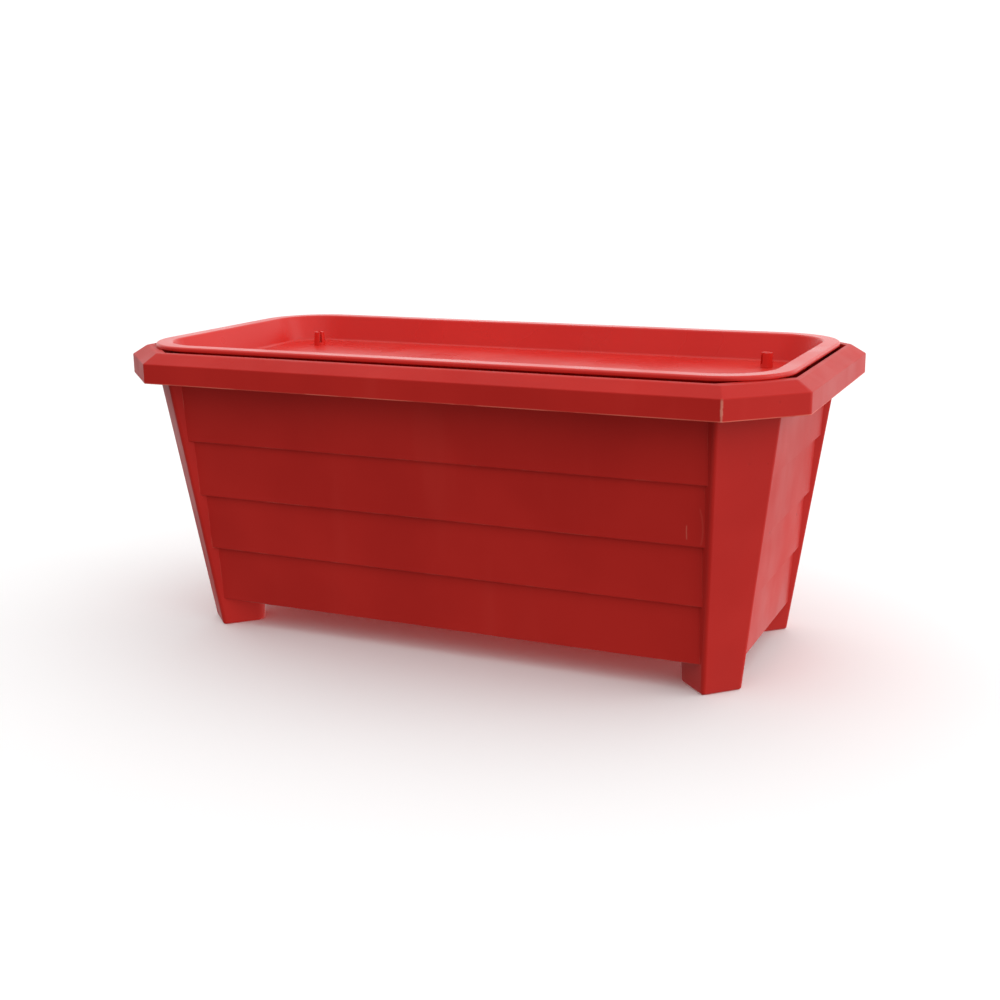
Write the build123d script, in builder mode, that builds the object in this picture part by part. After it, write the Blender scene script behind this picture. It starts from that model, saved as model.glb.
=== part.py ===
from build123d import *
from math import atan2, degrees, sqrt
import os

os.makedirs("parts", exist_ok=True)

# Self-watering trough planter. Millimetres, +Z up, +X along the trough.
# The origin is on the floor, under the middle of the planter.

# Driving dimensions of the rim
LENGTH = 600.0
WIDTH = 320.0
RIM_CORNER = 51.5
RIM_BOTTOM = 227.8
BAND_TOP = 244.4
CREST_TOP = 252.3
CREST_INSET = 12.0
MOUTH_X = 285.5
MOUTH_Y = 143.0
MOUTH_CORNER = 47.5
WALL = 2.6

# The body tapers as an octagon: half length, half width and corner cut at the soles, and growth per mm
SOLE_X = 248.6
SOLE_Y = 103.35
SOLE_CORNER = 24.6
GROWTH_X = 0.1305
GROWTH_Y = 0.1658
GROWTH_CORNER = 0.0647

# Clapboards: each board is proud at its lower edge and recessed at its upper edge
BOARD_BOTTOM = 25.2
BOARD_HEIGHT = 49.5
BOARD_COUNT = 4
BOARD_PROUD = 3.5
BOARD_RECESS = 7.0
BOARD_EASE = 0.8
NECK_BOTTOM = 231.0

# Corner posts, which run down into hollow feet
POST_SPREAD = 1.2
POST_TOP = 240.0
POST_ROUND = 3.0
HEEL_DEPTH = 39.5
HEEL_ROUND = 8.0
SOLE_THICK = 3.0
SOLE_ROUND = 2.5

# Water tray, stored upside up in the mouth
LIP_X = 282.5
LIP_Y = 135.5
LIP_CORNER = 58.0
LIP_WIDTH = 14.0
LIP_HEIGHT = 4.0
TRAY_DEPTH = 24.0
TRAY_WALL = 2.4
TRAY_DRAFT = 8.0

# Split pegs on the tray, and the sockets in the soles that take them in use
PEG_X = 222.0
PEG_Y = 78.0
PEG_HEIGHT = 13.0
PEG_TOP_RADIUS = 4.7
PEG_BASE_RADIUS = 5.5
PEG_SLOT = 2.6
SOCKET_RADIUS = 5.4

# False floor with its wick cups
GRID_THICK = 2.5
GRID_LEG = 8.0
GRID_GAP = 2.0
CUP_X = 223.0
CUP_Y = 78.5
CUP_BOTTOM = 15.0
CUP_BOTTOM_RADIUS = 8.5
CUP_TOP_RADIUS = 11.0
CUP_WALL = 1.6
FLANGE_RADIUS = 13.5
FLANGE_THICK = 2.0
WICK_GAP = 0.5
WICK_PROUD = 3.6

CORNERS = (("front_left", -1, -1), ("front_right", 1, -1), ("back_left", -1, 1), ("back_right", 1, 1))

# Worked-out heights
FLOOR_TOP = BOARD_BOTTOM + WALL
LIP_BOTTOM = CREST_TOP
LIP_TOP = LIP_BOTTOM + LIP_HEIGHT
TRAY_FLOOR = LIP_TOP - TRAY_DEPTH
GRID_BOTTOM = FLOOR_TOP + GRID_LEG
GRID_TOP = GRID_BOTTOM + GRID_THICK
FLANGE_TOP = GRID_TOP + FLANGE_THICK

# A 45 degree face moves by this much of its corner cut when both its neighbours move in by one
CUT_SHARE = 2 - sqrt(2)

# How near a level an edge or face lies to be picked by it, and how far a cut overruns the solid it opens
PICK = 0.1
OVERRUN = 1.0


def octagon(half_x, half_y, corner, height):
    """A rectangle with its corners cut at 45 degrees, on the plane at this height."""
    with BuildSketch(Plane.XY.offset(height)) as profile:
        Rectangle(2 * half_x, 2 * half_y)
        chamfer(profile.vertices(), corner)
    return profile.sketch


def rim_octagon(inset, height):
    """The rim's outline moved in by inset, crisp along the sides and softer at the ends."""
    with BuildSketch(Plane.XY.offset(height)) as profile:
        add(octagon(LENGTH / 2 - inset, WIDTH / 2 - inset, RIM_CORNER - CUT_SHARE * inset, height))
        by_length = profile.vertices().group_by(Axis.X)
        fillet(by_length[0] + by_length[-1], END_SOFTENING)
        by_width = profile.vertices().group_by(Axis.Y)
        fillet(by_width[0] + by_width[-1], SIDE_SOFTENING)
    return profile.sketch


def body_octagon(height, setback, skin=0.0):
    """The tapered body's section, moved in by setback along the sides, and by skin all round."""
    inset = setback + skin
    corner = SOLE_CORNER + GROWTH_CORNER * height - 2 * setback - CUT_SHARE * skin
    half_x = SOLE_X + GROWTH_X * height - inset
    half_y = SOLE_Y + GROWTH_Y * height - inset
    return octagon(half_x, half_y, corner, height)


def board_setback(board, height):
    """How far a clapboard's face lies behind the posts at this height."""
    above = height - BOARD_BOTTOM - board * BOARD_HEIGHT
    return BOARD_PROUD + (BOARD_RECESS - BOARD_PROUD) * above / BOARD_HEIGHT


def clapboards(lift, skin, ease=0.0):
    """Stacked boards; lift and skin move the steps up and the faces in, and ease cuts the lower edges."""
    for board in range(BOARD_COUNT):
        low = BOARD_BOTTOM + board * BOARD_HEIGHT + lift
        high = NECK_BOTTOM if board == BOARD_COUNT - 1 else low + BOARD_HEIGHT
        foot = body_octagon(low + ease, board_setback(board, low + ease - lift), skin)
        head = body_octagon(high, board_setback(board, high - lift), skin)
        loft(sections=[foot, head], ruled=True)
        if ease:
            edge = body_octagon(low, board_setback(board, low - lift) + ease, skin)
            loft(sections=[edge, foot], ruled=True)


def foot_section(height, skin):
    """One corner post's section at this height, square to the diagonal, with its sides moved in by skin."""
    corner = SOLE_CORNER + GROWTH_CORNER * height
    lean = (GROWTH_X + GROWTH_Y - GROWTH_CORNER) / sqrt(2)
    depth = HEEL_DEPTH + lean * height
    x = SOLE_X + GROWTH_X * height - corner / 2 - depth / 2 / sqrt(2)
    y = SOLE_Y + GROWTH_Y * height - corner / 2 - depth / 2 / sqrt(2)
    width = corner * sqrt(2) + POST_SPREAD
    with BuildSketch(Plane.XY.offset(height)) as profile:
        with Locations((x, y)):
            Rectangle(depth - 2 * skin, width - 2 * skin, rotation=45)
        outward = Axis((0, 0, 0), (1, 1, 0))
        fillet(profile.vertices().sort_by(outward)[-2:], POST_ROUND - skin / 2)
        fillet(profile.vertices().sort_by(outward)[:2], HEEL_ROUND - skin)
    return profile.sketch


def in_four_corners():
    """Repeats the part being built in the other three corners."""
    mirror(about=Plane.XZ)
    mirror(about=Plane.YZ)


# Trough: the walls as stacked clapboards, flaring at the neck to meet the rim
with BuildPart() as walls:
    clapboards(0.0, 0.0, BOARD_EASE)
    neck = body_octagon(NECK_BOTTOM, board_setback(BOARD_COUNT - 1, NECK_BOTTOM))
    mouth_corner = MOUTH_CORNER + CUT_SHARE * WALL
    mouth = octagon(MOUTH_X + WALL, MOUTH_Y + WALL, mouth_corner, CREST_TOP - WALL)
    loft(sections=[neck, mouth], ruled=True)

# Corner posts and feet, rounded where they meet the ground
with BuildPart() as posts:
    sole = foot_section(0.0, 0.0)
    post_head = foot_section(POST_TOP, 0.0)
    loft(sections=[sole, post_head], ruled=True)
    fillet(posts.edges().group_by(Axis.Z)[0], SOLE_ROUND)
    in_four_corners()

# Rim: an upright band and a slope up to a flat crest, hollow underneath
BAND_SKIN = 2.8
HOLLOW_TOP = CREST_TOP - WALL
SIDE_SOFTENING = 2.0
END_SOFTENING = 5.0
BAND_ROUND = 1.2
CREST_ROUND = 4.0
BAND_FOOT_ROUND = 0.6
with BuildPart() as rim:
    extrude(rim_octagon(0.0, RIM_BOTTOM), amount=BAND_TOP - RIM_BOTTOM)
    loft(sections=[rim_octagon(0.0, BAND_TOP), rim_octagon(CREST_INSET, CREST_TOP)], ruled=True)
    fillet(rim.edges().filter_by_position(Axis.Z, BAND_TOP - PICK, BAND_TOP + PICK), BAND_ROUND)
    fillet(rim.edges().group_by(Axis.Z)[-1], CREST_ROUND)
    fillet(rim.edges().group_by(Axis.Z)[0], BAND_FOOT_ROUND)

with BuildPart() as rim_hollow:
    inner_x = LENGTH / 2 - BAND_SKIN
    inner_y = WIDTH / 2 - BAND_SKIN
    inner_corner = RIM_CORNER - CUT_SHARE * BAND_SKIN
    extrude(octagon(inner_x, inner_y, inner_corner, RIM_BOTTOM - OVERRUN), amount=BAND_TOP - RIM_BOTTOM)
    hollow_foot = octagon(inner_x, inner_y, inner_corner, BAND_TOP - OVERRUN)
    top_inset = CREST_INSET + BAND_SKIN
    top_corner = RIM_CORNER - CUT_SHARE * top_inset
    hollow_head = octagon(LENGTH / 2 - top_inset, WIDTH / 2 - top_inset, top_corner, HOLLOW_TOP)
    loft(sections=[hollow_foot, hollow_head], ruled=True)

with BuildPart() as inside:
    clapboards(WALL, WALL)
    throat = body_octagon(NECK_BOTTOM, board_setback(BOARD_COUNT - 1, NECK_BOTTOM - WALL), WALL)
    opening = octagon(MOUTH_X, MOUTH_Y, MOUTH_CORNER, CREST_TOP)
    loft(sections=[throat, opening], ruled=True)

with BuildPart() as foot_wells:
    well_floor = foot_section(SOLE_THICK, WALL)
    well_mouth = foot_section(FLOOR_TOP, WALL)
    loft(sections=[well_floor, well_mouth], ruled=True)
    in_four_corners()

DRAIN_COUNT_X = 5
DRAIN_PITCH_X = 80.0
DRAIN_PITCH_Y = 60.0
DRAIN_RADIUS = 6.0
SOLE_SLOT_LENGTH = 12.0
SOLE_SLOT_WIDTH = 3.0
SOLE_SLOT_OFFSET = 10.0
with BuildPart() as planter_trough:
    add(rim.part)
    add(rim_hollow.part, mode=Mode.SUBTRACT)
    add(walls.part)
    add(posts.part)
    add(inside.part, mode=Mode.SUBTRACT)
    add(foot_wells.part, mode=Mode.SUBTRACT)
    with BuildSketch():
        with GridLocations(2 * PEG_X, 2 * PEG_Y, 2, 2):
            Circle(SOCKET_RADIUS)
        across = SOLE_SLOT_OFFSET / sqrt(2)
        for _, side_x, side_y in CORNERS:
            for way in (-1, 1):
                with Locations((side_x * (PEG_X + way * across), side_y * (PEG_Y - way * across))):
                    SlotOverall(SOLE_SLOT_LENGTH, SOLE_SLOT_WIDTH, rotation=45 * side_x * side_y)
    extrude(amount=SOLE_THICK, mode=Mode.SUBTRACT)
    with BuildSketch(Plane.XY.offset(BOARD_BOTTOM)):
        with GridLocations(DRAIN_PITCH_X, DRAIN_PITCH_Y, DRAIN_COUNT_X, 2):
            Circle(DRAIN_RADIUS)
    extrude(amount=WALL, mode=Mode.SUBTRACT)
planter_trough.part.label = "planter_trough"
export_step(planter_trough.part, "parts/planter_trough.step")


def rounded_box(half_x, half_y, radius, height):
    """A rectangle with rounded corners on the plane at this height."""
    with BuildSketch(Plane.XY.offset(height)) as profile:
        RectangleRounded(2 * half_x, 2 * half_y, radius)
    return profile.sketch


# Water tray: a shallow basin with a rolled lip, and four split pegs on its floor
BASIN_X = LIP_X - LIP_WIDTH
BASIN_Y = LIP_Y - LIP_WIDTH
BASIN_CORNER = LIP_CORNER - LIP_WIDTH
FLOOR_X = BASIN_X - TRAY_DRAFT
FLOOR_Y = BASIN_Y - TRAY_DRAFT
FLOOR_CORNER = BASIN_CORNER - TRAY_DRAFT
TRAY_BOTTOM = TRAY_FLOOR - TRAY_WALL
LIP_TOP_ROUND = 2.0
LIP_EDGE_ROUND = 1.0
BASIN_ROUND = 3.0
PEG_TAPER = degrees(atan2(PEG_BASE_RADIUS - PEG_TOP_RADIUS, PEG_HEIGHT))
PEG_SLOT_DEPTH = 10.0
PEG_SLOT_LENGTH = 16.0
with BuildPart() as water_tray:
    under = rounded_box(FLOOR_X + TRAY_WALL, FLOOR_Y + TRAY_WALL, FLOOR_CORNER + TRAY_WALL, TRAY_BOTTOM)
    shoulder = rounded_box(BASIN_X + TRAY_WALL, BASIN_Y + TRAY_WALL, BASIN_CORNER + TRAY_WALL, LIP_BOTTOM)
    loft(sections=[under, shoulder], ruled=True)
    fillet(water_tray.edges().group_by(Axis.Z)[0], BASIN_ROUND + TRAY_WALL)
    extrude(rounded_box(LIP_X, LIP_Y, LIP_CORNER, LIP_BOTTOM), amount=LIP_HEIGHT)
    fillet(water_tray.faces().sort_by(Axis.Z)[-1].edges(), LIP_TOP_ROUND)
    under_lip = water_tray.faces().filter_by_position(Axis.Z, LIP_BOTTOM - PICK, LIP_BOTTOM + PICK)[0]
    fillet(under_lip.outer_wire().edges(), LIP_EDGE_ROUND)
    floor = rounded_box(FLOOR_X, FLOOR_Y, FLOOR_CORNER, TRAY_FLOOR)
    mouth = rounded_box(BASIN_X, BASIN_Y, BASIN_CORNER, LIP_TOP)
    loft(sections=[floor, mouth], ruled=True, mode=Mode.SUBTRACT)
    fillet(water_tray.edges().filter_by_position(Axis.Z, TRAY_FLOOR - PICK, TRAY_FLOOR + PICK), BASIN_ROUND)
    fillet(water_tray.faces().sort_by(Axis.Z)[-1].inner_wires()[0].edges(), LIP_TOP_ROUND)
    with BuildSketch(Plane.XY.offset(TRAY_FLOOR)):
        with GridLocations(2 * PEG_X, 2 * PEG_Y, 2, 2):
            Circle(PEG_BASE_RADIUS)
    extrude(amount=PEG_HEIGHT, taper=PEG_TAPER)
    with BuildSketch(Plane.XY.offset(TRAY_FLOOR + PEG_HEIGHT - PEG_SLOT_DEPTH)):
        for _, side_x, side_y in CORNERS:
            with Locations((side_x * PEG_X, side_y * PEG_Y)):
                Rectangle(PEG_SLOT_LENGTH, PEG_SLOT, rotation=45 * side_x * side_y)
    extrude(amount=PEG_HEIGHT, mode=Mode.SUBTRACT)
water_tray.part.label = "water_tray"
export_step(water_tray.part, "parts/water_tray.step")

# False floor: a perforated plate on ribs, with a round seat for each wick cup and two hand holes
SLOT_LENGTH = 18.0
SLOT_WIDTH = 4.0
SLOT_PITCH_X = 34.0
SLOT_PITCH_Y = 18.0
SLOT_COLUMNS = 11
SLOT_ROWS = 11
RIB_THICK = 2.5
RIB_LENGTH = 380.0
RIB_SPAN = 180.0
RIB_PITCH = 54.0
RIB_COUNT = 4
CROSS_RIB_PITCH = 238.0
HAND_HOLE_X = 208.0
HAND_HOLE_LENGTH = 46.0
HAND_HOLE_WIDTH = 20.0
HAND_HOLE_CORNER = 2.0
COLLAR_DEPTH = 4.0
COLLAR_THICK = 2.5
CUP_CLEARANCE = 0.8
with BuildPart() as drainage_grid:
    plate = body_octagon(GRID_BOTTOM, board_setback(0, GRID_BOTTOM), WALL + GRID_GAP)
    extrude(plate, amount=GRID_THICK)
    with BuildSketch(Plane.XY.offset(FLOOR_TOP)):
        with GridLocations(0, RIB_PITCH, 1, RIB_COUNT):
            Rectangle(RIB_LENGTH, RIB_THICK)
        with GridLocations(CROSS_RIB_PITCH, 0, 2, 1):
            Rectangle(RIB_THICK, RIB_SPAN)
    extrude(amount=GRID_LEG)
    with BuildSketch(Plane.XY.offset(GRID_BOTTOM - COLLAR_DEPTH)):
        with GridLocations(2 * HAND_HOLE_X, 0, 2, 1):
            collar_width = HAND_HOLE_WIDTH + 2 * COLLAR_THICK
            collar_length = HAND_HOLE_LENGTH + 2 * COLLAR_THICK
            RectangleRounded(collar_width, collar_length, HAND_HOLE_CORNER + COLLAR_THICK)
    extrude(amount=COLLAR_DEPTH)
    with BuildSketch(Plane.XY.offset(GRID_BOTTOM)):
        with GridLocations(SLOT_PITCH_X, SLOT_PITCH_Y, SLOT_COLUMNS, SLOT_ROWS):
            SlotOverall(SLOT_LENGTH, SLOT_WIDTH)
    extrude(amount=GRID_THICK, mode=Mode.SUBTRACT)
    with BuildSketch(Plane.XY.offset(FLOOR_TOP)):
        with GridLocations(2 * HAND_HOLE_X, 0, 2, 1):
            RectangleRounded(HAND_HOLE_WIDTH, HAND_HOLE_LENGTH, HAND_HOLE_CORNER)
        with GridLocations(2 * CUP_X, 2 * CUP_Y, 2, 2):
            Circle(CUP_TOP_RADIUS + CUP_CLEARANCE)
    extrude(amount=GRID_LEG + GRID_THICK, mode=Mode.SUBTRACT)
drainage_grid.part.label = "drainage_grid"
export_step(drainage_grid.part, "parts/drainage_grid.step")


def cup_radius(height):
    """Outer radius of a wick cup at this height."""
    share = (height - CUP_BOTTOM) / (GRID_TOP - CUP_BOTTOM)
    return CUP_BOTTOM_RADIUS + (CUP_TOP_RADIUS - CUP_BOTTOM_RADIUS) * share


# Wick cups hang through the false floor into the hollow feet, each packed with a felt wick
CUP_FLOOR = CUP_BOTTOM + CUP_WALL
WINDOW_COUNT = 8
WINDOW_WIDTH = 3.0
WINDOW_DEPTH = 6.4
WINDOW_SILL = 1.5
WINDOW_HEADROOM = 3.0
WINDOW_BOTTOM = CUP_FLOOR + WINDOW_SILL
WINDOW_TOP = GRID_BOTTOM - WINDOW_HEADROOM
FLOOR_HOLE_RADIUS = 1.6
FLOOR_HOLE_COUNT = 4
for corner_name, side_x, side_y in CORNERS:
    upright = Plane((side_x * CUP_X, side_y * CUP_Y, 0), x_dir=(1, 0, 0), z_dir=(0, -1, 0))
    cup_axis = Axis(upright.origin, (0, 0, 1))
    with BuildPart() as wick_cup:
        with BuildSketch(upright):
            with BuildLine():
                Polyline(
                    (0, CUP_BOTTOM),
                    (CUP_BOTTOM_RADIUS, CUP_BOTTOM),
                    (CUP_TOP_RADIUS, GRID_TOP),
                    (FLANGE_RADIUS, GRID_TOP),
                    (FLANGE_RADIUS, FLANGE_TOP),
                    (cup_radius(FLANGE_TOP) - CUP_WALL, FLANGE_TOP),
                    (cup_radius(CUP_FLOOR) - CUP_WALL, CUP_FLOOR),
                    (0, CUP_FLOOR),
                    close=True,
                )
            make_face()
        revolve(axis=cup_axis)
        middle = (WINDOW_BOTTOM + WINDOW_TOP) / 2
        with Locations(upright.origin + Vector(0, 0, middle)):
            with PolarLocations(cup_radius(middle), WINDOW_COUNT):
                Box(WINDOW_DEPTH, WINDOW_WIDTH, WINDOW_TOP - WINDOW_BOTTOM, mode=Mode.SUBTRACT)
        with BuildSketch(Plane(upright.origin + Vector(0, 0, CUP_BOTTOM))):
            with PolarLocations(CUP_BOTTOM_RADIUS / 2, FLOOR_HOLE_COUNT):
                Circle(FLOOR_HOLE_RADIUS)
        extrude(amount=CUP_WALL, mode=Mode.SUBTRACT)
    wick_cup.part.label = f"wick_cup_{corner_name}"
    export_step(wick_cup.part, f"parts/wick_cup_{corner_name}.step")

    with BuildPart() as foot_wick:
        with BuildSketch(upright):
            with BuildLine():
                wick_foot = cup_radius(CUP_FLOOR) - CUP_WALL - WICK_GAP
                wick_head = cup_radius(FLANGE_TOP) - CUP_WALL - WICK_GAP
                wick_crown = FLANGE_TOP + WICK_PROUD
                Polyline((0, wick_crown), (0, CUP_FLOOR), (wick_foot, CUP_FLOOR), (wick_head, FLANGE_TOP))
                TangentArc((0, wick_crown), (wick_head, FLANGE_TOP), tangent=(1, 0))
            make_face()
        revolve(axis=cup_axis)
    foot_wick.part.label = f"foot_wick_{corner_name}"
    export_step(foot_wick.part, f"parts/foot_wick_{corner_name}.step")
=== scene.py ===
import math

import bmesh
import bpy
from mathutils import Matrix, Vector, noise


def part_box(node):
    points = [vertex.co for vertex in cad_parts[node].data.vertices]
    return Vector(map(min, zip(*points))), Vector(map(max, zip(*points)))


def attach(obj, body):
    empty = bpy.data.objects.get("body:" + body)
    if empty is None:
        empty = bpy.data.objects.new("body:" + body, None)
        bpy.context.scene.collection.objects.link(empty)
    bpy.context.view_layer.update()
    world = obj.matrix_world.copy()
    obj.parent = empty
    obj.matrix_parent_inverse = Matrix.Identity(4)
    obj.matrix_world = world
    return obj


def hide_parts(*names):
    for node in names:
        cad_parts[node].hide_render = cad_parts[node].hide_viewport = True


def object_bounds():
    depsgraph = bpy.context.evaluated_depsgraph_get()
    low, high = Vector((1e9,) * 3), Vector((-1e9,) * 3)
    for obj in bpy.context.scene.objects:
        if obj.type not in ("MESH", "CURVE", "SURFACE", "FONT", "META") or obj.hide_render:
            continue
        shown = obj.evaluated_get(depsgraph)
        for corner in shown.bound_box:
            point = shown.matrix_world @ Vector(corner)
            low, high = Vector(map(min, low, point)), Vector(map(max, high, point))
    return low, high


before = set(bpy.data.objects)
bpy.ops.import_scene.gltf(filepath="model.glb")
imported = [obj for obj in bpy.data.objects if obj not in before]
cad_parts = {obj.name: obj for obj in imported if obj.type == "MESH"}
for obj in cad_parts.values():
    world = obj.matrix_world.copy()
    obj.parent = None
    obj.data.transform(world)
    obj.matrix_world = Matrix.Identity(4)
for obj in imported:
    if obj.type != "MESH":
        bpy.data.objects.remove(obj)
cad_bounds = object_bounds()
low, high = cad_bounds

# Heights on the trough that the finishes follow, in metres
BAND_BOTTOM = 0.2278
BAND_TOP = 0.2444
TRAY_FLOOR = 0.2323
LIP_LOW = 0.2530

# The upright corner of the rim at the right-hand end of the front side, painted with a pale line: a painted
# highlight, partly stress whitening
CORNER_X = 0.2479
CORNER_Y = -0.1595
CORNER_RAGGED = 0.0016

# Mould flash round the skirt's lower edge: its height above the edge and its faded and full half-widths
FLASH_RISE = 0.0003
FLASH_FADED = 0.0008
FLASH_FULL = 0.0003
FLASH_STRENGTH = 0.75

# Scuffs on the second board: x, z of the bow's middle, bow, lowest z, highest z, half-width and strength
SCUFFS = (
    (0.2134, 0.1355, 6.0, 0.1290, 0.1420, 0.0006, 0.28),
    (0.2260, 0.1395, -9.0, 0.1255, 0.1560, 0.0009, 0.07),
)
SCUFF_FADE = 0.002

# Sink pits in the end panels: cells per metre, the share of cells left without one, where the ends begin
# along x, and depth
PIT_CELLS = 85.0
PIT_RARITY = 0.80
PIT_FROM_X = 0.2475
PIT_DEPTH = 0.0005

# Radii within which an edge is painted paler, as rubbed wear and as a painted highlight, in metres
TROUGH_RUB_AND_HIGHLIGHT = 0.0009
LIP_RUB_AND_HIGHLIGHT = 0.0016

CORNERS = ("front_left", "front_right", "back_left", "back_right")

# Rolled felt wicks: rings up the side, sides round, layers in the roll, and sizes in metres
WICK_RINGS = 14
WICK_SIDES = 72
WICK_LAYERS = 3.0
WICK_DOME = 0.0036
WICK_GROOVE = 0.0007
WICK_FOOT_SHARE = 0.74

# Linear colours of the mouldings
BRICK = (0.545, 0.0195, 0.0140)
BRICK_DARK = (0.495, 0.0160, 0.0115)
BRICK_PALE = (0.585, 0.032, 0.023)
BASIN = (0.68, 0.0230, 0.0165)
BASIN_DARK = (0.64, 0.0200, 0.0145)
# The pale brick colour serves rubbed wear, scuffs and water marks, and also painted highlights on the edges,
# the lip and the rim corner
BRICK_WORN_AND_HIGHLIGHT = (0.78, 0.27, 0.20)
BRICK_FLASH = (0.80, 0.16, 0.11)
# The pit colour is painted shade inside the sink pits
BRICK_PIT_SHADE = (0.10, 0.006, 0.005)

# Linear colours of the parts inside
BLACK_DEEP = (0.022, 0.022, 0.024)
BLACK_STREAK = (0.06, 0.06, 0.062)
FELT_DARK = (0.36, 0.34, 0.31)
FELT_PALE = (0.66, 0.64, 0.60)
FELT_FLECK = (0.16, 0.17, 0.20)


class Finish:
    """A procedural material: one Principled shader and short names for the nodes that feed it."""

    def __init__(self, name, **constants):
        self.material = bpy.data.materials.new(name)
        self.material.use_nodes = True
        self.tree = self.material.node_tree
        self.shader = self.tree.nodes["Principled BSDF"]
        for socket, value in constants.items():
            self.shader.inputs[socket.replace("_", " ")].default_value = value
        self.place = self.add("ShaderNodeTexCoord").outputs["Object"]

    def add(self, kind, inputs=None, **settings):
        made = self.tree.nodes.new(kind)
        for key, value in settings.items():
            setattr(made, key, value)
        for key, value in (inputs or {}).items():
            self.feed(made.inputs[key], value)
        return made

    def feed(self, socket, value):
        if isinstance(value, bpy.types.NodeSocket):
            self.tree.links.new(value, socket)
        else:
            socket.default_value = value

    def stretched(self, scale):
        """Object coordinates multiplied by scale along each axis."""
        return self.add("ShaderNodeMapping", {"Vector": self.place, "Scale": scale}).outputs["Vector"]

    def noise(self, scale, detail=2.0, vector=None, roughness=0.5):
        inputs = {"Vector": vector or self.place, "Scale": scale, "Detail": detail, "Roughness": roughness}
        return self.add("ShaderNodeTexNoise", inputs).outputs["Fac"]

    def ramp(self, value, start, end, low=0.0, high=1.0):
        inputs = {"Value": value, "From Min": start, "From Max": end, "To Min": low, "To Max": high}
        return self.add("ShaderNodeMapRange", inputs, interpolation_type="SMOOTHSTEP").outputs["Result"]

    def math(self, operation, first, second=0.0):
        return self.add("ShaderNodeMath", {0: first, 1: second}, operation=operation).outputs[0]

    def mix(self, share, first, second):
        inputs = {"Factor": share, "A": first, "B": second}
        made = self.add("ShaderNodeMix", data_type="RGBA")
        for key, value in inputs.items():
            socket = [s for s in made.inputs if s.name == key and s.enabled][0]
            self.feed(socket, value)
        return [s for s in made.outputs if s.enabled][0]

    def height(self, z):
        """This point's height above a level, in metres."""
        split = self.add("ShaderNodeSeparateXYZ", {"Vector": self.place})
        return self.math("SUBTRACT", split.outputs["Z"], z)

    def edges(self, radius):
        """1 on convex or concave edges, 0 on flats, within a radius in metres."""
        soft = self.add("ShaderNodeBevel", {"Radius": radius}, samples=6).outputs["Normal"]
        flat = self.add("ShaderNodeNewGeometry").outputs["Normal"]
        along = self.add("ShaderNodeVectorMath", {0: soft, 1: flat}, operation="DOT_PRODUCT")
        return self.ramp(along.outputs["Value"], 0.995, 0.90)

    def bump(self, height, distance, under=None):
        inputs = {"Height": height, "Distance": distance}
        if under is not None:
            inputs["Normal"] = under
        return self.add("ShaderNodeBump", inputs).outputs["Normal"]

    def colour(self, value):
        self.feed(self.shader.inputs["Base Color"], value)

    def roughness(self, value):
        self.feed(self.shader.inputs["Roughness"], value)

    def normal(self, value):
        self.feed(self.shader.inputs["Normal"], value)


def rgba(colour):
    return (*colour, 1.0)


def brick_plastic(name, shade, shadow, roughness, wave, specular):
    """Moulded brick-red polypropylene: cloudy pigment, flow streaks and warp."""
    finish = Finish(name, Specular_IOR_Level=specular)
    cloud = finish.noise(9.0, 3.0)
    streak = finish.noise(1.0, 3.0, finish.stretched((26.0, 26.0, 3.0)))
    tone = finish.mix(finish.ramp(cloud, 0.35, 0.68), rgba(shadow), rgba(shade))
    finish.tone = finish.mix(finish.ramp(streak, 0.55, 0.75, 0.0, 0.3), tone, rgba(BRICK_PALE))
    finish.gloss = finish.ramp(finish.noise(20.0, 2.0), 0.3, 0.7, roughness - 0.03, roughness + 0.05)
    finish.relief = finish.bump(finish.noise(8.0, 0.0), wave)
    return finish


def stroke(finish, x, z, bend, low_z, high_z, width):
    """1 along a thin upright scratch on the front boards, which bows sideways by bend, in metres."""
    split = finish.add("ShaderNodeSeparateXYZ", {"Vector": finish.place})
    rise = finish.math("SUBTRACT", split.outputs["Z"], z)
    bow = finish.math("MULTIPLY", finish.math("MULTIPLY", rise, rise), bend)
    along = finish.math("SUBTRACT", split.outputs["X"], x)
    off = finish.math("ABSOLUTE", finish.math("SUBTRACT", along, bow))
    line = finish.ramp(off, width, width * 0.4)
    span = finish.math("MULTIPLY", finish.ramp(split.outputs["Z"], low_z, low_z + SCUFF_FADE),
                       finish.ramp(split.outputs["Z"], high_z, high_z - SCUFF_FADE))
    front = finish.ramp(split.outputs["Y"], -0.09, -0.10)
    return finish.math("MULTIPLY", finish.math("MULTIPLY", line, span), front)


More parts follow.
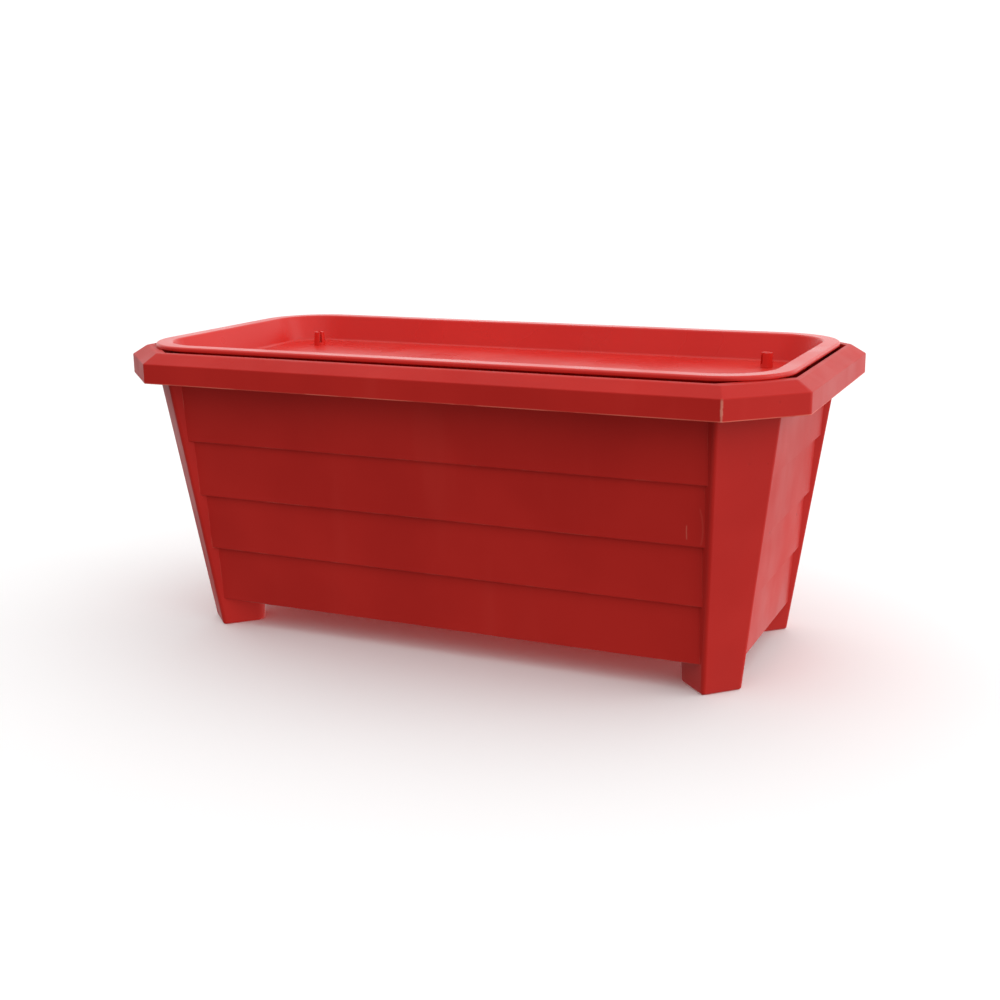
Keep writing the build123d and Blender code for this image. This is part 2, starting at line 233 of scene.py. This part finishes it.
def planter_plastic():
    """The trough's satin plastic, with its mould flash, a painted highlight down the rim corner, scuffs, and
    pits at the ends with painted shade in them.
    """
    finish = brick_plastic("planter_plastic", BRICK, BRICK_DARK, 0.46, 0.0005, 0.13)
    # Edges painted paler in patches: rubbed wear, and a painted highlight along the edges
    patches = finish.ramp(finish.noise(55.0, 3.0), 0.45, 0.72)
    rubbed_and_highlight = finish.math("MULTIPLY", finish.edges(TROUGH_RUB_AND_HIGHLIGHT), patches)
    tone = finish.mix(finish.math("MULTIPLY", rubbed_and_highlight, 0.45), finish.tone, rgba(BRICK_WORN_AND_HIGHLIGHT))
    # Flash: a pale hairline round the skirt's lower edge, broken here and there
    from_edge = finish.math("ABSOLUTE", finish.height(BAND_BOTTOM + FLASH_RISE))
    broken = finish.ramp(finish.noise(30.0, 3.0), 0.36, 0.56, 0.25, 1.0)
    flash = finish.math("MULTIPLY", finish.ramp(from_edge, FLASH_FADED, FLASH_FULL), broken)
    tone = finish.mix(finish.math("MULTIPLY", flash, FLASH_STRENGTH), tone, rgba(BRICK_FLASH))
    # Painted highlight: the rim's upright corner nearest the viewer, painted pale down its band, partly as
    # stress whitening
    split = finish.add("ShaderNodeSeparateXYZ", {"Vector": finish.place})
    to_line = finish.add("ShaderNodeCombineXYZ", {
        "X": finish.math("SUBTRACT", split.outputs["X"], CORNER_X),
        "Y": finish.math("SUBTRACT", split.outputs["Y"], CORNER_Y)})
    near = finish.add("ShaderNodeVectorMath", {0: to_line.outputs["Vector"]}, operation="LENGTH")
    ragged = finish.math("MULTIPLY", finish.noise(260.0, 3.0), CORNER_RAGGED)
    corner_highlight_line = finish.ramp(finish.math("SUBTRACT", near.outputs["Value"], ragged), 0.0006, -0.0003)
    band = finish.math("MULTIPLY", finish.ramp(finish.height(BAND_BOTTOM), 0.0, 0.0006),
                       finish.ramp(finish.height(BAND_TOP), 0.0008, -0.0022))
    corner_highlight = finish.math("MULTIPLY", finish.math("MULTIPLY", corner_highlight_line, band), 0.8)
    tone = finish.mix(corner_highlight, tone, rgba(BRICK_WORN_AND_HIGHLIGHT))
    # Scuffs on the second board, towards the right-hand post
    first, second = (finish.math("MULTIPLY", stroke(finish, *scuff[:-1]), scuff[-1]) for scuff in SCUFFS)
    tone = finish.mix(finish.math("ADD", first, second), tone, rgba(BRICK_WORN_AND_HIGHLIGHT))
    # Small sink pits in the end panels, painted dark inside: painted shade in the pits
    cells = finish.add("ShaderNodeTexVoronoi", {"Vector": finish.place, "Scale": PIT_CELLS})
    speck = finish.ramp(cells.outputs["Distance"], 0.13, 0.07)
    lot = finish.add("ShaderNodeSeparateColor", {"Color": cells.outputs["Color"]}).outputs[0]
    rare = finish.ramp(lot, PIT_RARITY, PIT_RARITY + 0.02)
    at_end = finish.ramp(finish.math("ABSOLUTE", split.outputs["X"]), PIT_FROM_X, PIT_FROM_X + 0.001)
    pits = finish.math("MULTIPLY", finish.math("MULTIPLY", speck, rare), at_end)
    low_down = finish.ramp(split.outputs["Z"], 0.20, 0.03, 0.15, 1.0)
    pits = finish.math("MULTIPLY", pits, low_down)
    tone = finish.mix(finish.math("MULTIPLY", pits, 0.6), tone, rgba(BRICK_PIT_SHADE))
    finish.colour(tone)
    # Cloudy gloss on the ends, as from a mould that was polished unevenly
    clouds = finish.ramp(finish.noise(1.0, 3.0, finish.stretched((9.0, 9.0, 5.0))), 0.35, 0.65, -0.05, 0.06)
    finish.roughness(finish.math("ADD", finish.gloss, clouds))
    grain = finish.bump(finish.noise(1500.0, 1.0), 0.00001, finish.relief)
    finish.normal(finish.bump(finish.math("MULTIPLY", pits, -1.0), PIT_DEPTH, grain))
    return finish.material


def tray_plastic():
    """The tray's glossier plastic: water marks on the floor, a painted highlight on the lip, and fine swirls
    from wiping.
    """
    finish = brick_plastic("tray_plastic", BASIN, BASIN_DARK, 0.28, 0.0002, 0.30)
    split = finish.add("ShaderNodeSeparateXYZ", {"Vector": finish.place})
    on_floor = finish.ramp(split.outputs["Z"], TRAY_FLOOR + 0.004, TRAY_FLOOR + 0.001)
    marks = finish.ramp(finish.noise(11.0, 2.0), 0.42, 0.68)
    chalk = finish.math("MULTIPLY", finish.math("MULTIPLY", marks, on_floor), 0.04)
    tone = finish.mix(chalk, finish.tone, rgba(BRICK_WORN_AND_HIGHLIGHT))
    # The rolled edge is painted paler all the way round: a painted highlight, partly rubbed wear
    on_lip = finish.ramp(split.outputs["Z"], LIP_LOW, LIP_LOW + 0.001)
    edge = finish.math("MULTIPLY", finish.edges(LIP_RUB_AND_HIGHLIGHT), on_lip)
    tone = finish.mix(finish.math("MULTIPLY", edge, 0.55), tone, rgba(BRICK_WORN_AND_HIGHLIGHT))
    finish.colour(tone)
    finish.roughness(finish.math("ADD", finish.gloss, finish.math("MULTIPLY", marks, 0.04)))
    swirl = finish.noise(1.0, 0.0, finish.stretched((12.0, 40.0, 20.0)))
    finish.normal(finish.bump(swirl, 0.00003, finish.relief))
    return finish.material


def black_plastic(name):
    """Recycled black polypropylene with grey flow marks."""
    finish = Finish(name, Specular_IOR_Level=0.4)
    streak = finish.noise(1.0, 4.0, finish.stretched((40.0, 9.0, 9.0)))
    finish.colour(finish.mix(finish.ramp(streak, 0.4, 0.8), rgba(BLACK_DEEP), rgba(BLACK_STREAK)))
    finish.roughness(finish.ramp(finish.noise(60.0, 3.0), 0.3, 0.7, 0.38, 0.52))
    finish.normal(finish.bump(finish.noise(900.0, 1.0), 0.00003))
    return finish.material


def felt(name):
    """Pressed grey wicking felt: mottled fibres and a soft sheen."""
    finish = Finish(name, Specular_IOR_Level=0.2, Sheen_Weight=0.35)
    fibre = finish.noise(520.0, 6.0, roughness=0.7)
    fleck = finish.noise(140.0, 3.0)
    tone = finish.mix(finish.ramp(fibre, 0.35, 0.65), rgba(FELT_DARK), rgba(FELT_PALE))
    finish.colour(finish.mix(finish.ramp(fleck, 0.62, 0.7, 0.0, 0.5), tone, rgba(FELT_FLECK)))
    finish.roughness(finish.ramp(fibre, 0.3, 0.7, 0.85, 1.0))
    finish.normal(finish.bump(fibre, 0.0006))
    return finish.material


def wear(name, material):
    """Gives a CAD node this material, on every face."""
    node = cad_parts[name]
    node.data.materials.clear()
    node.data.materials.append(material)


PLANTER = planter_plastic()
TRAY = tray_plastic()
BLACK = black_plastic("grid_plastic")
FELT = felt("wick_felt")
wear("planter_trough", PLANTER)
wear("water_tray", TRAY)
wear("drainage_grid", BLACK)
for corner in CORNERS:
    wear(f"wick_cup_{corner}", BLACK)


def felt_wick(corner):
    """A felt strip rolled up tight and pressed into its cup, in the space of its CAD solid."""
    foot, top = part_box(f"foot_wick_{corner}")
    middle_x = (foot.x + top.x) / 2
    middle_y = (foot.y + top.y) / 2
    head_radius = (top.x - foot.x) / 2
    shoulder = top.z - WICK_DOME
    made = bmesh.new()
    own_lumps = Vector((middle_x * 40, middle_y * 40, 0.0))
    rings = []
    levels = [k / WICK_RINGS for k in range(WICK_RINGS + 1)]
    profile = [(WICK_FOOT_SHARE + (1 - WICK_FOOT_SHARE) * level, foot.z + (shoulder - foot.z) * level)
               for level in levels]
    crown = [(math.cos(math.pi / 2 * level), shoulder + WICK_DOME * math.sin(math.pi / 2 * level))
             for level in levels[1:-1]]
    for share, z in profile + crown:
        ring = []
        for step in range(WICK_SIDES):
            angle = 2 * math.pi * step / WICK_SIDES
            way = Vector((math.cos(angle), math.sin(angle), 0.0))
            lump = noise.noise(way * 1.7 + own_lumps + Vector((0.0, 0.0, z * 220)))
            radius = head_radius * share * (0.965 + 0.03 * lump)
            height = z
            if z > shoulder:
                # The rolled strip's layers show as a spiral groove across the top
                layer = (share * WICK_LAYERS + angle / (2 * math.pi)) % 1.0
                height -= WICK_GROOVE * max(0.0, 1.0 - abs(layer - 0.5) * 7)
            ring.append(made.verts.new((middle_x + way.x * radius, middle_y + way.y * radius, height)))
        rings.append(ring)
    for below, above in zip(rings, rings[1:]):
        for step in range(WICK_SIDES):
            after = (step + 1) % WICK_SIDES
            made.faces.new((below[step], below[after], above[after], above[step]))
    made.faces.new(list(reversed(rings[0])))
    made.faces.new(rings[-1])
    mesh = bpy.data.meshes.new(f"felt_wick_{corner}")
    made.to_mesh(mesh)
    made.free()
    mesh.materials.append(FELT)
    for face in mesh.polygons:
        face.use_smooth = True
    piece = bpy.data.objects.new(f"felt_wick_{corner}", mesh)
    bpy.context.scene.collection.objects.link(piece)
    smoother = piece.modifiers.new("smooth", "SUBSURF")
    smoother.levels = 1
    smoother.render_levels = 1
    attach(piece, f"cup_{corner}")
    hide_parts(f"foot_wick_{corner}")


for corner in CORNERS:
    felt_wick(corner)


# The studio floor's radius in metres, its corners, and its linear colours
FLOOR_RADIUS = 40.0
FLOOR_SIDES = 96
FLOOR_DIM = (0.93, 0.93, 0.93)
FLOOR_BRIGHT = (0.95, 0.95, 0.95)


def studio_floor():
    """A wide pale floor at the soles' height. It throws no light back up onto the planter."""
    finish = Finish("studio_floor", Specular_IOR_Level=0.0)
    finish.colour(finish.mix(finish.noise(3.0, 2.0), rgba(FLOOR_DIM), rgba(FLOOR_BRIGHT)))
    finish.roughness(finish.ramp(finish.noise(20.0, 2.0), 0.3, 0.7, 0.8, 0.9))
    angles = [2 * math.pi * step / FLOOR_SIDES for step in range(FLOOR_SIDES)]
    ring = [(FLOOR_RADIUS * math.cos(angle), FLOOR_RADIUS * math.sin(angle), low.z) for angle in angles]
    mesh = bpy.data.meshes.new("studio_floor")
    mesh.from_pydata(ring, [], [list(range(FLOOR_SIDES))])
    mesh.materials.append(finish.material)
    floor = bpy.data.objects.new("studio_floor", mesh)
    floor.visible_diffuse = False
    floor.visible_glossy = False
    bpy.context.scene.collection.objects.link(floor)


def soft_box(name, place, size, power):
    """A square area light aimed at the middle of the planter."""
    lamp = bpy.data.lights.new(name, "AREA")
    lamp.size = size
    lamp.energy = power
    holder = bpy.data.objects.new(name, lamp)
    holder.location = place
    aim = (low + high) / 2 - Vector(place)
    holder.rotation_euler = aim.to_track_quat("-Z", "Y").to_euler()
    bpy.context.scene.collection.objects.link(holder)


# The studio's white surroundings: brightest along this direction, dim on the opposite side
SKY_TOWARDS = (0.45, 0.62, 0.64)
SKY_DIM = 0.34
SKY_BRIGHT = 1.22
SKY_DIM_UNTIL = -0.50
SKY_BRIGHT_FROM = 0.02

# The one lamp: where it stands, its size in metres and its power in watts
LAMP_PLACE = (1.9, 0.35, 0.9)
LAMP_SIZE = 1.2
LAMP_POWER = 5.0


def sky():
    world = bpy.data.worlds.new("studio")
    world.use_nodes = True
    tree = world.node_tree
    facing = tree.nodes.new("ShaderNodeTexCoord").outputs["Generated"]
    turned = tree.nodes.new("ShaderNodeVectorMath")
    turned.operation = "DOT_PRODUCT"
    tree.links.new(facing, turned.inputs[0])
    turned.inputs[1].default_value = Vector(SKY_TOWARDS).normalized()
    level = tree.nodes.new("ShaderNodeMapRange")
    level.interpolation_type = "SMOOTHSTEP"
    limits = {"From Min": SKY_DIM_UNTIL, "From Max": SKY_BRIGHT_FROM, "To Min": SKY_DIM, "To Max": SKY_BRIGHT}
    for socket, value in limits.items():
        level.inputs[socket].default_value = value
    tree.links.new(turned.outputs["Value"], level.inputs["Value"])
    background = tree.nodes["Background"]
    background.inputs["Color"].default_value = (1.0, 1.0, 1.0, 1.0)
    tree.links.new(level.outputs["Result"], background.inputs["Strength"])
    bpy.context.scene.world = world


def studio():
    studio_floor()
    sky()
    soft_box("right_side", LAMP_PLACE, LAMP_SIZE, LAMP_POWER)
    bpy.context.scene.view_settings.view_transform = "Standard"
    bpy.context.scene.view_settings.look = "None"


# The camera, low at the front right-hand corner: metres, radians, and the lens in millimetres
CAMERA_PLACE = Vector((0.4998, -1.0919, 0.4086))
CAMERA_TURN = math.radians(24.343)
CAMERA_DROP = math.radians(13.818)
CAMERA_ROLL = math.radians(-0.6415)
CAMERA_LENS = 50.02


def camera():
    data = bpy.data.cameras.new("camera")
    data.lens = CAMERA_LENS
    data.sensor_width = 36.0
    data.clip_start = 0.05
    data.clip_end = 50.0
    holder = bpy.data.objects.new("camera", data)
    turn = Matrix.Rotation(CAMERA_TURN, 4, "Z")
    tilt = Matrix.Rotation(math.pi / 2 - CAMERA_DROP, 4, "X")
    roll = Matrix.Rotation(CAMERA_ROLL, 4, "Z")
    holder.matrix_world = Matrix.Translation(CAMERA_PLACE) @ turn @ tilt @ roll
    bpy.context.scene.collection.objects.link(holder)
    bpy.context.scene.camera = holder


studio()
camera()
